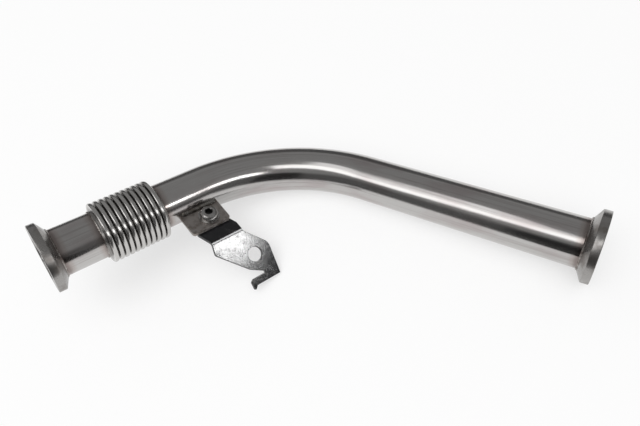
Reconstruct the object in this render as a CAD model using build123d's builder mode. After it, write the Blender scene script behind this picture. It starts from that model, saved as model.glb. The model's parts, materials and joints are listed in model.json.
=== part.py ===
"""Exhaust gas return pipe with a flexible bellows, two clamp flanges and a support bracket.

Every piece is modelled in the pipe's own frame: the inlet face is at the origin, the first run
lies along +X, and the one bend turns towards -Y in the XY plane. The last section lays the whole
pipe down as it comes to rest, on its bend, its outlet flange and the toe of its bracket.
Lengths are in millimetres and angles in degrees.
"""

import os
from math import cos, radians, sin, sqrt, tan

from build123d import *

os.makedirs("parts", exist_ok=True)

# The tube and its route
tube_od = 35.0
tube_wall = 1.5
inlet_reach = 120.0
bend_radius = 116.0
bend_angle = 70.8
outlet_reach = 173.0

# Clamp flanges, one on each end
flange_od = 51.0
flange_rim = 5.4
flange_cone = 4.0
flange_neck_wall = 1.0
flange_lip = 2.0
flange_edge = 0.6

# Bellows
bellows_station = 40.4
bellows_od = 46.6
bellows_wall = 0.5
convolutions = 11
convolution_pitch = 4.05
fold_flat = 0.8
cuff_length = 1.2
tube_end_gap = 0.4
bellows_weld = 0.8
slip_clearance = 0.1

# Tab welded to the inside of the first run
tab_station = 110.4
tab_width = 32.0
tab_reach = 38.4
tab_thickness = 3.0
tab_droop = 14.0
tab_corner = 2.5
tab_weld_leg = 2.4
tab_weld_inset = 1.2

# Screw, washer and nut that hold the bracket to the tab
screw_station = 113.0
screw_reach = 29.0
screw_diameter = 8.0
screw_length = 16.0
head_diameter = 14.0
head_height = 4.4
head_top = 7.4
head_rim = 0.8
socket_flats = 5.0
socket_depth = 2.6
screw_chamfer = 1.0
hole_clearance = 0.5
washer_diameter = 16.0
washer_thickness = 1.6
washer_clearance = 0.2
nut_flats = 13.0
nut_height = 6.5
nut_chamfer = 0.7
thread_clearance = 0.05

# Support bracket, bent from one sheet
bracket_sheet = 3.0
bracket_bend = 36.0
bracket_bend_radius = 3.0
bend_reach = 50.4
leg_left = 11.0
leg_right = 15.5
leg_inner = 8.5
leg_corner = 3.0
root_across = 13.0
flare_length = 6.5
flare_to_bend = 7.4
ear_across = -15.0
ear_to_bend = 12.9
fixing_hole = 11.5
fixing_across = 15.7
fixing_down = 22.0

# The bracket plate's outline: across from the screw's line, and down from the bend line
shoulder_across = -12.4
shoulder_down = 9.5
shoulder_round = 3.0
heel_across = 7.0
heel_down = 31.0
heel_round = 4.0
slot_end = 16.6
slot_gap = 1.4
slot_round = 0.6
finger_end = 5.6
finger_depth = 5.7
hook_across = 3.2
hook_width = 3.4
hook_length = 3.5
hook_round = 0.8
toe_across = 27.6
toe_down = 43.9
cheek_across = 29.9
cheek_down = 18.4
cheek_round = 8.0

# Start and rounds of the search for the resting place
first_lean = Vector(-0.3, -0.3, 0.9)
settling_rounds = 10

# Sizes that follow from the ones above
tube_radius = tube_od / 2
bore_radius = tube_radius - tube_wall
bellows_length = convolutions * convolution_pitch
bellows_end = bellows_station + bellows_length
flange_length = flange_rim + flange_cone
flange_weld = slip_clearance + flange_neck_wall
along_tube = Vector(1, 0, 0)


def axial_plane(end, station):
    """Plane that holds an end's axis: x runs into the pipe from the station, and y is the radius."""
    return Plane(origin=end.origin + end.z_dir * station, x_dir=end.z_dir, z_dir=(0, 0, 1))


def clamp_flange(end):
    """Turned clamp flange: a flat face, a rim, a cone down to the neck, and a socket for the tube."""
    rim_radius = flange_od / 2
    socket_radius = tube_radius + slip_clearance
    neck_radius = socket_radius + flange_neck_wall
    with BuildPart() as flange:
        with BuildSketch(axial_plane(end, 0)):
            with BuildLine():
                Polyline(
                    (0, bore_radius),
                    (0, rim_radius),
                    (flange_rim, rim_radius),
                    (flange_length, neck_radius),
                    (flange_length, socket_radius),
                    (flange_lip, socket_radius),
                    (flange_lip, bore_radius),
                    close=True,
                )
            make_face()
        revolve(axis=Axis(end.origin, end.z_dir))
        rim_circles = flange.edges().filter_by(GeomType.CIRCLE).group_by(SortBy.RADIUS)[-1]
        chamfer(rim_circles, flange_edge)
    return flange.part


def weld_bead(end, station, leg):
    """Fillet bead around the tube, against a shoulder that looks into the run."""
    with BuildPart() as bead:
        with BuildSketch(axial_plane(end, station)):
            with BuildLine():
                Polyline((0, tube_radius), (0, tube_radius + leg), (leg, tube_radius), close=True)
            make_face()
        revolve(axis=Axis(end.origin, end.z_dir))
    return bead.part


# Centreline of the long tube, from inside the bellows to the lip of the outlet flange
with BuildLine() as tube_route:
    first_run = Line((bellows_end + tube_end_gap, 0), (inlet_reach, 0))
    bend = JernArc(first_run @ 1, first_run % 1, bend_radius, -bend_angle)
    last_run = PolarLine(bend @ 1, outlet_reach - flange_lip, direction=bend % 1)

inlet_end = Plane.YZ
outlet_face = last_run @ 1 + (last_run % 1) * flange_lip
outlet_end = Plane(origin=outlet_face, x_dir=(0, 0, 1), z_dir=(last_run % 1) * -1)

# Inlet flange and its weld
with BuildPart() as inlet_flange:
    add(clamp_flange(inlet_end))

with BuildPart() as inlet_flange_weld:
    add(weld_bead(inlet_end, flange_length, flange_weld))

# Short tube from the inlet flange to the bellows
with BuildPart() as inlet_tube:
    with BuildSketch(inlet_end.offset(flange_lip)):
        Circle(tube_radius)
        Circle(bore_radius, mode=Mode.SUBTRACT)
    extrude(amount=bellows_station - tube_end_gap - flange_lip)

# Bellows: one thin wall folded to and fro. A fold is sharp on its inside and has a flat outside.
cuff_inside = tube_radius + slip_clearance
cuff_outside = cuff_inside + bellows_wall
crest_outside = bellows_od / 2
crest_inside = crest_outside - bellows_wall
half_flat = fold_flat / 2

with BuildPart() as bellows:
    with BuildSketch(axial_plane(inlet_end, bellows_station)):
        with BuildLine():
            outside = [(-cuff_length, cuff_outside)]
            inside = [(-cuff_length, cuff_inside)]
            for turn in range(convolutions):
                valley = turn * convolution_pitch
                crest = valley + convolution_pitch / 2
                outside += [
                    (valley, cuff_outside),
                    (crest - half_flat, crest_outside),
                    (crest + half_flat, crest_outside),
                ]
                inside += [
                    (valley + half_flat, cuff_inside),
                    (crest, crest_inside),
                    (valley + convolution_pitch - half_flat, cuff_inside),
                ]
            outside += [
                (bellows_length, cuff_outside),
                (bellows_length + cuff_length, cuff_outside),
            ]
            inside += [(bellows_length + cuff_length, cuff_inside)]
            Polyline(*outside, *reversed(inside), close=True)
        make_face()
    revolve(axis=Axis.X)

# Seam welds where the bellows cuffs end on the tubes
towards_inlet = Plane(origin=(bellows_station, 0, 0), x_dir=(0, 0, 1), z_dir=along_tube * -1)

with BuildPart() as bellows_inlet_weld:
    add(weld_bead(towards_inlet, cuff_length, bellows_weld))

with BuildPart() as bellows_outlet_weld:
    add(weld_bead(inlet_end, bellows_end + cuff_length, bellows_weld))

# Long tube: one wall swept along a straight run, the bend and a second straight run
route_start = Plane(origin=first_run @ 0, z_dir=first_run % 0)

with BuildPart() as main_tube:
    with BuildSketch(route_start):
        Circle(tube_radius)
        Circle(bore_radius, mode=Mode.SUBTRACT)
    sweep(path=tube_route.line)

with BuildPart() as tube_outside:
    with BuildSketch(route_start):
        Circle(tube_radius)
    sweep(path=tube_route.line)

# Outlet flange and its weld
with BuildPart() as outlet_flange:
    add(clamp_flange(outlet_end))

with BuildPart() as outlet_flange_weld:
    add(weld_bead(outlet_end, flange_length, flange_weld))

# Tab: a flat plate set radially on the tube. On its planes x runs along the tube from the inlet
# face, y outwards from the tube's axis, and z down through the sheet.
tab_outwards = Vector(0, -cos(radians(tab_droop)), -sin(radians(tab_droop)))
tab_down = along_tube.cross(tab_outwards)
tab_middle = Plane(origin=(0, 0, 0), x_dir=along_tube, z_dir=tab_down)
tab_top = tab_middle.offset(-tab_thickness / 2)
tab_bottom = tab_middle.offset(tab_thickness / 2)
screw_hole_radius = screw_diameter / 2 + hole_clearance

with BuildPart() as mounting_tab:
    with BuildSketch(tab_top) as tab_outline:
        with Locations((tab_station, tab_reach / 2)):
            Rectangle(tab_width, tab_reach)
        fillet(tab_outline.vertices().group_by(Axis.Y)[-1], tab_corner)
        with Locations((screw_station, screw_reach)):
            Circle(screw_hole_radius, mode=Mode.SUBTRACT)
    extrude(amount=tab_thickness)
    add(tube_outside.part, mode=Mode.SUBTRACT)

# Fillet welds in the corners above and below the tab, where it meets the tube
weld_start = tab_station - tab_width / 2 + tab_weld_inset
weld_section = Plane(origin=(weld_start, 0, 0), x_dir=tab_outwards, z_dir=along_tube)
weld_corner = sqrt(tube_radius**2 - (tab_thickness / 2) ** 2)


def tab_weld(face, keep):
    """Quarter-round bead along the tab's root, on the side of the given tab face."""
    height = tab_middle.to_local_coords(face.origin).Z
    with BuildPart() as bead:
        with BuildSketch(weld_section):
            with Locations((weld_corner, height)):
                Circle(tab_weld_leg)
        extrude(amount=tab_width - 2 * tab_weld_inset)
        add(tube_outside.part, mode=Mode.SUBTRACT)
        split(bisect_by=face, keep=keep)
    return bead.part


with BuildPart() as tab_weld_upper:
    add(tab_weld(tab_top, Keep.BOTTOM))

with BuildPart() as tab_weld_lower:
    add(tab_weld(tab_bottom, Keep.TOP))

# Support bracket: a leg under the tab, one bend, and a plate with a fixing hole and a hooked finger.
# Its outlines are measured across from the screw's line.
outer_bend_radius = bracket_bend_radius + bracket_sheet
bend_setback = outer_bend_radius * tan(radians(bracket_bend / 2))
leg_end = bend_reach - bend_setback
leg_start = screw_reach - leg_inner
flare_end = bend_reach - flare_to_bend
flare_start = flare_end - flare_length
ear_reach = bend_reach - ear_to_bend
leg_width = leg_left + leg_right
leg_middle = screw_station + (leg_right - leg_left) / 2

plate_droop = tab_droop + bracket_bend
plate_outwards = Vector(0, -cos(radians(plate_droop)), -sin(radians(plate_droop)))
plate_down = along_tube.cross(plate_outwards)
leg_origin = tab_bottom.from_local_coords((screw_station, 0, 0))
leg_face = Plane(origin=leg_origin, x_dir=along_tube, z_dir=tab_down)
bend_line = tab_bottom.from_local_coords((screw_station, bend_reach, 0))
plate_face = Plane(origin=bend_line, x_dir=along_tube, z_dir=plate_down)
bend_section = Plane(
    origin=tab_bottom.from_local_coords((leg_middle, leg_end, bracket_sheet / 2)),
    x_dir=along_tube,
    z_dir=tab_outwards,
)
bend_axis = Axis(tab_bottom.from_local_coords((0, leg_end, outer_bend_radius)), along_tube)

with BuildPart() as support_bracket:
    with BuildSketch(leg_face):
        with BuildLine():
            FilletPolyline(
                (root_across, leg_start),
                (root_across, flare_start),
                (leg_right, flare_end),
                (leg_right, leg_end),
                (-leg_left, leg_end),
                (ear_across, ear_reach),
                (-leg_left, leg_start),
                radius=(leg_corner, leg_corner, leg_corner, 0, 0, leg_corner, leg_corner),
                close=True,
            )
        make_face()
        with Locations((0, screw_reach)):
            Circle(screw_hole_radius, mode=Mode.SUBTRACT)
    extrude(amount=bracket_sheet)
    with BuildSketch(bend_section):
        Rectangle(leg_width, bracket_sheet)
    revolve(axis=bend_axis, revolution_arc=bracket_bend)
    finger_top = toe_down - finger_depth
    with BuildSketch(plate_face):
        with BuildLine():
            FilletPolyline(
                (-leg_left, bend_setback),
                (shoulder_across, shoulder_down),
                (heel_across, heel_down),
                (slot_end, finger_top - slot_gap),
                (slot_end, finger_top),
                (finger_end, finger_top),
                (hook_across, finger_top + hook_width / 2),
                (hook_across, toe_down + hook_length),
                (hook_across + hook_width, toe_down),
                (toe_across, toe_down),
                (cheek_across, cheek_down),
                (leg_right, bend_setback),
                radius=(
                    0,
                    shoulder_round,
                    heel_round,
                    slot_round,
                    slot_round,
                    hook_round,
                    hook_round,
                    hook_round,
                    hook_round,
                    0,
                    cheek_round,
                    0,
                ),
                close=True,
            )
        make_face()
        with Locations((fixing_across, fixing_down)):
            Circle(fixing_hole / 2, mode=Mode.SUBTRACT)
    extrude(amount=bracket_sheet)

# Washer on top of the tab
with BuildPart() as bracket_washer:
    with BuildSketch(tab_top):
        with Locations((screw_station, screw_reach)):
            Circle(washer_diameter / 2)
            Circle(screw_diameter / 2 + washer_clearance, mode=Mode.SUBTRACT)
    extrude(amount=-washer_thickness)

# Round-headed screw with a six-sided socket: on its section x is the radius and y points up
head_seat = tab_top.offset(-washer_thickness)
screw_point = head_seat.from_local_coords((screw_station, screw_reach, 0))
screw_section = Plane(origin=screw_point, x_dir=along_tube, z_dir=tab_outwards)
screw_top = Plane(origin=screw_point - tab_down * head_height, x_dir=along_tube, z_dir=tab_down)
shank_radius = screw_diameter / 2

with BuildPart() as bracket_screw:
    with BuildSketch(screw_section):
        with BuildLine():
            Polyline(
                (0, head_height),
                (0, -screw_length),
                (shank_radius - screw_chamfer, -screw_length),
                (shank_radius, screw_chamfer - screw_length),
                (shank_radius, 0),
                (head_diameter / 2, 0),
                (head_diameter / 2, head_rim),
            )
            dome = RadiusArc(
                (head_diameter / 2, head_rim), (head_top / 2, head_height), -head_diameter / 2
            )
            Line(dome @ 1, (0, head_height))
        make_face()
    revolve(axis=Axis(screw_point, tab_down))
    with BuildSketch(screw_top):
        RegularPolygon(socket_flats / 2, 6, major_radius=False)
    extrude(amount=socket_depth, mode=Mode.SUBTRACT)

# Nut under the bracket's leg, with its corners turned off on both faces
nut_face = tab_bottom.offset(bracket_sheet)
nut_point = nut_face.from_local_coords((screw_station, screw_reach, 0))
nut_corner = nut_flats / sqrt(3)

with BuildPart() as bracket_nut:
    with BuildSketch(Plane(origin=nut_point, x_dir=along_tube, z_dir=tab_down)):
        RegularPolygon(nut_flats / 2, 6, major_radius=False)
        Circle(screw_diameter / 2 + thread_clearance, mode=Mode.SUBTRACT)
    extrude(amount=nut_height)
    with BuildSketch(Plane(origin=nut_point, x_dir=along_tube, z_dir=tab_outwards * -1)):
        with BuildLine():
            Polyline(
                (0, 0),
                (nut_flats / 2, 0),
                (nut_corner, nut_chamfer),
                (nut_corner, nut_height - nut_chamfer),
                (nut_flats / 2, nut_height),
                (0, nut_height),
                close=True,
            )
        make_face()
    revolve(axis=Axis(nut_point, tab_down), mode=Mode.INTERSECT)

# Resting place: the pipe lies on the underside of its bend, the rim of its outlet flange and the toe
# of its bracket. Each round lays a plane on the three lowest points, then looks for them again.
toe_foot = plate_face.from_local_coords((toe_across, toe_down, bracket_sheet))
bend_centre = Vector(inlet_reach, -bend_radius, 0)
rim_ends = (flange_edge, flange_rim - flange_edge)
rim_centres = [outlet_end.origin + outlet_end.z_dir * end for end in rim_ends]
up = first_lean.normalized()
for settling in range(settling_rounds):
    bend_lowest = Vector(-up.X, -up.Y, 0).normalized()
    bend_foot = bend_centre + bend_lowest * bend_radius - up * tube_radius
    rim_highest = (up - outlet_end.z_dir * up.dot(outlet_end.z_dir)).normalized()
    rim_feet = [centre - rim_highest * (flange_od / 2) for centre in rim_centres]
    rim_foot = min(rim_feet, key=up.dot)
    up = (toe_foot - bend_foot).cross(rim_foot - bend_foot).normalized()
floor = Plane(origin=bend_foot, x_dir=outlet_face, z_dir=up)

pieces = {
    "inlet_flange": inlet_flange,
    "inlet_flange_weld": inlet_flange_weld,
    "inlet_tube": inlet_tube,
    "bellows_inlet_weld": bellows_inlet_weld,
    "bellows": bellows,
    "bellows_outlet_weld": bellows_outlet_weld,
    "main_tube": main_tube,
    "outlet_flange_weld": outlet_flange_weld,
    "outlet_flange": outlet_flange,
    "mounting_tab": mounting_tab,
    "tab_weld_upper": tab_weld_upper,
    "tab_weld_lower": tab_weld_lower,
    "support_bracket": support_bracket,
    "bracket_washer": bracket_washer,
    "bracket_screw": bracket_screw,
    "bracket_nut": bracket_nut,
}
on_floor = floor.location.inverse()
outline = Compound([on_floor * piece.part for piece in pieces.values()]).bounding_box()
resting = Location((-outline.center().X, -outline.center().Y, 0)) * on_floor

for name, piece in pieces.items():
    laid = resting * piece.part
    laid.label = name
    export_step(laid, f"parts/{name}.step")
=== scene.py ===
"""Finished look of the exhaust gas return pipe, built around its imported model.

Turned pieces are spun as (station, radius) outlines along a straight line, and then laid along the
pipe's bent centreline. Each keeps its straight place in an attribute, which its finish reads, so
that polishing lines and heat tint follow the tube. Lengths are in metres.
"""

import json
import logging
import math
from dataclasses import dataclass, replace
from enum import Enum
from typing import Any, Callable, Iterable, NamedTuple, Sequence

import bmesh
import bpy
from mathutils import Matrix, Vector, noise

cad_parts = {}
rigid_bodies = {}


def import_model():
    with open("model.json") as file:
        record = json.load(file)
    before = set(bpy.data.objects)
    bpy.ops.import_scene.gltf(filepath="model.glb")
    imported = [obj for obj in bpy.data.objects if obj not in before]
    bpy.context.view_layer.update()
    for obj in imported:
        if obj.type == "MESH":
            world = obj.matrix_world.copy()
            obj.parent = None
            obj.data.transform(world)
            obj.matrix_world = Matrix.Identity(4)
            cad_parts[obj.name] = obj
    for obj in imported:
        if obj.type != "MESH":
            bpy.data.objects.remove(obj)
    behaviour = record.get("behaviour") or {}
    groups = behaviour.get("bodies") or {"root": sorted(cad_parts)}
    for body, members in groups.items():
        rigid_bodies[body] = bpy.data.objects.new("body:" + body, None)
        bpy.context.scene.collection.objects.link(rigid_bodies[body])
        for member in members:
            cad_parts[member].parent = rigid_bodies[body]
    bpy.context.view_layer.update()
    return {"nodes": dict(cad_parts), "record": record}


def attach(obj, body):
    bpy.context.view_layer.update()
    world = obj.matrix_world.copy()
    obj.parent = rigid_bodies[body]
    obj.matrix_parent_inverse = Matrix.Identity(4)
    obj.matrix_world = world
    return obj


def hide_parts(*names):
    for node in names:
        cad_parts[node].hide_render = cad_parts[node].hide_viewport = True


LOG = logging.getLogger("egr_pipe")

MM = 0.001
STRAIGHT = "straight"
BODY = "root"

Socket = bpy.types.NodeSocket


class Slot(Enum):
    """The record's material slots."""

    TUBE = "tube_steel"
    FLANGE = "flange_steel"
    BELLOWS = "bellows_steel"
    WELD = "weld_steel"
    TAB = "tab_steel"
    BRACKET = "bracket_paint"
    SCREW = "screw_steel"
    WASHER = "washer_steel"
    NUT = "nut_steel"


class Grain(NamedTuple):
    """Noise of one density, with its number of octaves and how strongly they show."""

    density: float
    detail: float = 2.0
    strength: float = 0.5


@dataclass(frozen=True)
class PipeFrame:
    """The pipe's own frame and route, worked out from its two bore mounts.

    In this frame the inlet face is at the origin, the first run lies along +x, and the one bend
    turns towards -y in the xy plane.
    """

    to_row: Matrix
    bore_radius: float
    inlet_reach: float
    outlet_reach: float
    bend_angle: float
    bend_radius: float

    @classmethod
    def from_record(cls, record: dict[str, Any]) -> "PipeFrame":
        """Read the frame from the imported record.

        Args:
            record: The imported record, with the mounts inlet_bore and outlet_bore.

        Returns:
            The frame, with the lengths of both straight runs and the size of the bend.
        """
        mounts = {mount["name"]: mount for mount in record["mounts"]}
        inlet, outlet = mounts["inlet_bore"], mounts["outlet_bore"]
        inlet_reach = inlet["dims"]["length_mm"] * MM
        outlet_reach = outlet["dims"]["length_mm"] * MM
        x_axis = -Vector(inlet["axis"]).normalized()
        leaving = Vector(outlet["axis"]).normalized()
        y_axis = -(leaving - x_axis * leaving.dot(x_axis)).normalized()
        origin = Vector(inlet["pos_m"]) - x_axis * inlet_reach / 2
        rotation = Matrix((x_axis, y_axis, x_axis.cross(y_axis))).transposed()
        to_row = Matrix.Translation(origin) @ rotation.to_4x4()
        outlet_face = Vector(outlet["pos_m"]) + leaving * outlet_reach / 2
        bend_end = to_row.inverted() @ (outlet_face - leaving * outlet_reach)
        bend_angle = x_axis.angle(leaving)
        return cls(
            to_row=to_row,
            bore_radius=inlet["dims"]["r_mm"] * MM,
            inlet_reach=inlet_reach,
            outlet_reach=outlet_reach,
            bend_angle=bend_angle,
            bend_radius=(bend_end.x - inlet_reach) / math.sin(bend_angle),
        )

    @property
    def length(self) -> float:
        """Length of the centreline from face to face."""
        return self.inlet_reach + self.bend_radius * self.bend_angle + self.outlet_reach

    def lay(self, straight: Vector) -> Vector:
        """Carry a point of the straightened pipe to its place in the row frame.

        Args:
            straight: Station along the centreline, and the two offsets from it.

        Returns:
            The point on the bent pipe.
        """
        station, across, height = straight
        past_start = max(station - self.inlet_reach, 0.0)
        turn = min(past_start / self.bend_radius, self.bend_angle)
        past_bend = past_start - turn * self.bend_radius
        centre = Vector((
            min(station, self.inlet_reach) + self.bend_radius * math.sin(turn),
            self.bend_radius * (math.cos(turn) - 1),
            0.0,
        ))
        along = Vector((math.cos(turn), -math.sin(turn), 0.0))
        outward = Vector((math.sin(turn), math.cos(turn), 0.0))
        aside = outward * across + Vector((0.0, 0.0, height))
        return self.to_row @ (centre + along * past_bend + aside)

    def point(self, place: Sequence[float]) -> Vector:
        """Row-frame place of a point in the pipe's frame."""
        return self.to_row @ Vector(place)

    def direction(self, heading: Sequence[float]) -> Vector:
        """Row-frame direction of a heading in the pipe's frame."""
        return (self.to_row.to_3x3() @ Vector(heading)).normalized()


class NodeTree:
    """A node tree, with short calls that add and join its nodes."""

    def __init__(self, tree: bpy.types.NodeTree) -> None:
        """Take up a tree."""
        self.tree = tree

    def add(self, kind: str, **settings: Any) -> bpy.types.Node:
        """Add a node and set its properties.

        Args:
            kind: The node's type name.
            settings: Properties of the node by name.

        Returns:
            The new node.
        """
        node = self.tree.nodes.new(kind)
        for key, value in settings.items():
            setattr(node, key, value)
        return node

    def feed(self, target: Socket, value: Any) -> None:
        """Set a socket to a constant, or join it to another socket.

        Args:
            target: The input socket.
            value: A constant, or the socket to join.
        """
        if isinstance(value, bpy.types.NodeSocket):
            self.tree.links.new(value, target)
        else:
            target.default_value = value

    def fill(self, node: bpy.types.Node, **values: Any) -> None:
        """Feed a node's sockets, named with underscores for spaces."""
        for key, value in values.items():
            self.feed(node.inputs[key.replace("_", " ")], value)

    def math(self, operation: str, first: Any, second: Any = 0.0) -> Socket:
        """One sum of two values.

        Args:
            operation: The Math node's operation.
            first: A number or a socket.
            second: A number or a socket.

        Returns:
            The result.
        """
        node = self.add("ShaderNodeMath", operation=operation)
        self.feed(node.inputs[0], first)
        self.feed(node.inputs[1], second)
        return node.outputs["Value"]

    def shown(self) -> Socket:
        """1 on rays of the camera, of mirroring and through clear bodies, and 0 on the others.

        Returns:
            The socket that holds it.
        """
        path = self.add("ShaderNodeLightPath").outputs
        seen = self.math("MAXIMUM", path["Is Camera Ray"], path["Is Glossy Ray"])
        return self.math("MAXIMUM", seen, path["Is Transmission Ray"])


class NodeSheet(NodeTree):
    """One material's node tree."""

    def __init__(self, name: str) -> None:
        """Start a material that holds a bare Principled shader.

        Args:
            name: The material's name.
        """
        self.material = bpy.data.materials.new(name)
        self.material.use_nodes = True
        super().__init__(self.material.node_tree)
        self.shader = self.tree.nodes["Principled BSDF"]

    def set(self, **values: Any) -> None:
        """Feed the shader's sockets, named with underscores for spaces."""
        self.fill(self.shader, **values)

    def straight(self) -> Socket:
        """The straightened place that a turned piece keeps."""
        return self.add("ShaderNodeAttribute", attribute_name=STRAIGHT).outputs["Vector"]

    def place(self) -> Socket:
        """The place on the object in the row frame."""
        return self.add("ShaderNodeTexCoord").outputs["Object"]

    def scaled(self, vector: Socket, scale: tuple[float, float, float]) -> Socket:
        """A vector with each part multiplied.

        Args:
            vector: The vector.
            scale: A factor for each of its parts.

        Returns:
            The multiplied vector.
        """
        node = self.add("ShaderNodeVectorMath", operation="MULTIPLY")
        self.feed(node.inputs[0], vector)
        node.inputs[1].default_value = scale
        return node.outputs["Vector"]

    def part(self, vector: Socket, axis: str) -> Socket:
        """One part of a vector: X, Y or Z.

        Args:
            vector: The vector.
            axis: The part's letter.

        Returns:
            That part.
        """
        node = self.add("ShaderNodeSeparateXYZ")
        self.feed(node.inputs[0], vector)
        return node.outputs[axis]

    def radius(self, straight: Socket) -> Socket:
        """How far a straightened place is from the centreline.

        Args:
            straight: The straightened place.

        Returns:
            The distance.
        """
        across = self.math("POWER", self.part(straight, "Y"), 2.0)
        height = self.math("POWER", self.part(straight, "Z"), 2.0)
        return self.math("SQRT", self.math("ADD", across, height))

    def noise(self, vector: Socket, grain: Grain) -> Socket:
        """Smooth noise around 0.5.

        Args:
            vector: Where the noise is read.
            grain: Its density, octaves and their strength.

        Returns:
            The noise.
        """
        node = self.add("ShaderNodeTexNoise")
        density, detail, strength = grain
        self.fill(node, Vector=vector, Scale=density, Detail=detail, Roughness=strength)
        return node.outputs["Fac"]

    def span(
        self, value: Socket, low: float, high: float, to_low: float = 0.0, to_high: float = 1.0
    ) -> Socket:
        """Carry a value from one range to another, smoothly and with clamped ends.

        Args:
            value: The value.
            low: Where the first range starts.
            high: Where the first range ends.
            to_low: What the start becomes.
            to_high: What the end becomes.

        Returns:
            The carried value.
        """
        node = self.add("ShaderNodeMapRange", interpolation_type="SMOOTHSTEP")
        self.fill(node, Value=value, From_Min=low, From_Max=high, To_Min=to_low, To_Max=to_high)
        return node.outputs["Result"]

    def blend(self, factor: Any, first: Any, second: Any) -> Socket:
        """Mix two colours.

        Args:
            factor: Share of the second colour.
            first: A colour or a colour socket.
            second: A colour or a colour socket.

        Returns:
            The mixed colour.
        """
        node = self.add("ShaderNodeMix", data_type="RGBA")
        self.feed(node.inputs["Factor"], factor)
        self.feed(node.inputs[6], first)
        self.feed(node.inputs[7], second)
        return node.outputs[2]

    def bump(self, height: Socket, depth: float, under: Socket | None = None) -> Socket:
        """A bump of the given depth, over another bump if one is given.

        Args:
            height: The pattern that stands out.
            depth: How far a pattern of 1 stands out.
            under: The normal of a bump beneath.

        Returns:
            The bumped normal.
        """
        node = self.add("ShaderNodeBump")
        self.fill(node, Strength=1.0, Distance=depth, Height=height)
        if under is not None:
            self.feed(node.inputs["Normal"], under)
        return node.outputs["Normal"]


Colour = tuple[float, float, float, float]


def colour(red: float, green: float, blue: float) -> Colour:
    """An opaque colour."""
    return (red, green, blue, 1.0)


WHITE = colour(1.0, 1.0, 1.0)


@dataclass(frozen=True)
class PolishedTube:
    """Stainless tube, polished lengthwise, with heat tint beside its welds."""

    welds: tuple[float, ...]
    steel: Colour = colour(0.50, 0.49, 0.48)
    clouded: Colour = colour(0.445, 0.41, 0.405)
    straw: Colour = colour(0.37, 0.325, 0.305)
    brown: Colour = colour(0.20, 0.165, 0.155)
    streaked: Colour = colour(0.37, 0.35, 0.34)
    tint_reach: float = 6.5 * MM
    straw_share: float = 0.65
    brown_share: float = 0.75
    wander: float = 4.0 * MM
    lines: Grain = Grain(520.0, 4.0, 0.65)
    line_stretch: float = 0.012
    line_depth: float = 0.004 * MM
    clouds: Grain = Grain(70.0, 3.0, 0.55)
    cloud_stretch: float = 0.35
    waves: Grain = Grain(62.0, 1.0)
    wave_depth: float = 0.05 * MM

    def material(self) -> bpy.types.Material:
        """Build the finish.

        Returns:
            The material.
        """
        sheet = NodeSheet("polished_tube")
        straight = sheet.straight()
        lines = sheet.noise(sheet.scaled(straight, (self.line_stretch, 1.0, 1.0)), self.lines)
        clouds = sheet.noise(sheet.scaled(straight, (self.cloud_stretch, 1.0, 1.0)), self.clouds)
        station = sheet.part(straight, "X")
        wander = sheet.math("MULTIPLY", sheet.math("SUBTRACT", clouds, 0.5), self.wander)
        place = sheet.math("ADD", station, wander)
        steel = sheet.blend(sheet.span(clouds, 0.42, 0.72), self.steel, self.clouded)
        steel = sheet.blend(sheet.span(lines, 0.48, 0.66, 0.0, 0.6), steel, self.streaked)
        reach = self.tint_reach
        for weld in self.welds:
            distance = sheet.math("ABSOLUTE", sheet.math("SUBTRACT", place, weld))
            straw = sheet.span(distance, 0.45 * reach, reach, self.straw_share, 0.0)
            brown = sheet.span(distance, 0.1 * reach, 0.55 * reach, self.brown_share, 0.0)
            steel = sheet.blend(brown, sheet.blend(straw, steel, self.straw), self.brown)
        sheet.set(Base_Color=steel, Metallic=1.0)
        sheet.set(Roughness=sheet.span(lines, 0.3, 0.75, 0.13, 0.24))
        rippled = sheet.bump(sheet.noise(straight, self.waves), self.wave_depth)
        sheet.set(Normal=sheet.bump(lines, self.line_depth, rippled))
        return sheet.material


@dataclass(frozen=True)
class TurnedFlange:
    """Stainless flange with fine turning marks."""

    steel: Colour = colour(0.34, 0.33, 0.32)
    stained: Colour = colour(0.20, 0.18, 0.165)
    clouds: Grain = Grain(110.0, 3.0, 0.6)
    marks: Grain = Grain(2600.0)
    mark_depth: float = 0.006 * MM

    def material(self) -> bpy.types.Material:
        """Build the finish.

        Returns:
            The material.
        """
        sheet = NodeSheet("turned_flange")
        straight = sheet.straight()
        groove = sheet.add("ShaderNodeCombineXYZ")
        sheet.fill(groove, X=sheet.part(straight, "X"), Y=sheet.radius(straight))
        marks = sheet.noise(groove.outputs["Vector"], self.marks)
        clouds = sheet.noise(straight, self.clouds)
        steel = sheet.blend(sheet.span(clouds, 0.45, 0.75, 0.0, 0.8), self.steel, self.stained)
        sheet.set(Base_Color=steel, Metallic=1.0)
        sheet.set(Roughness=sheet.span(clouds, 0.3, 0.7, 0.22, 0.36))
        sheet.set(Normal=sheet.bump(marks, self.mark_depth))
        return sheet.material


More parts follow.
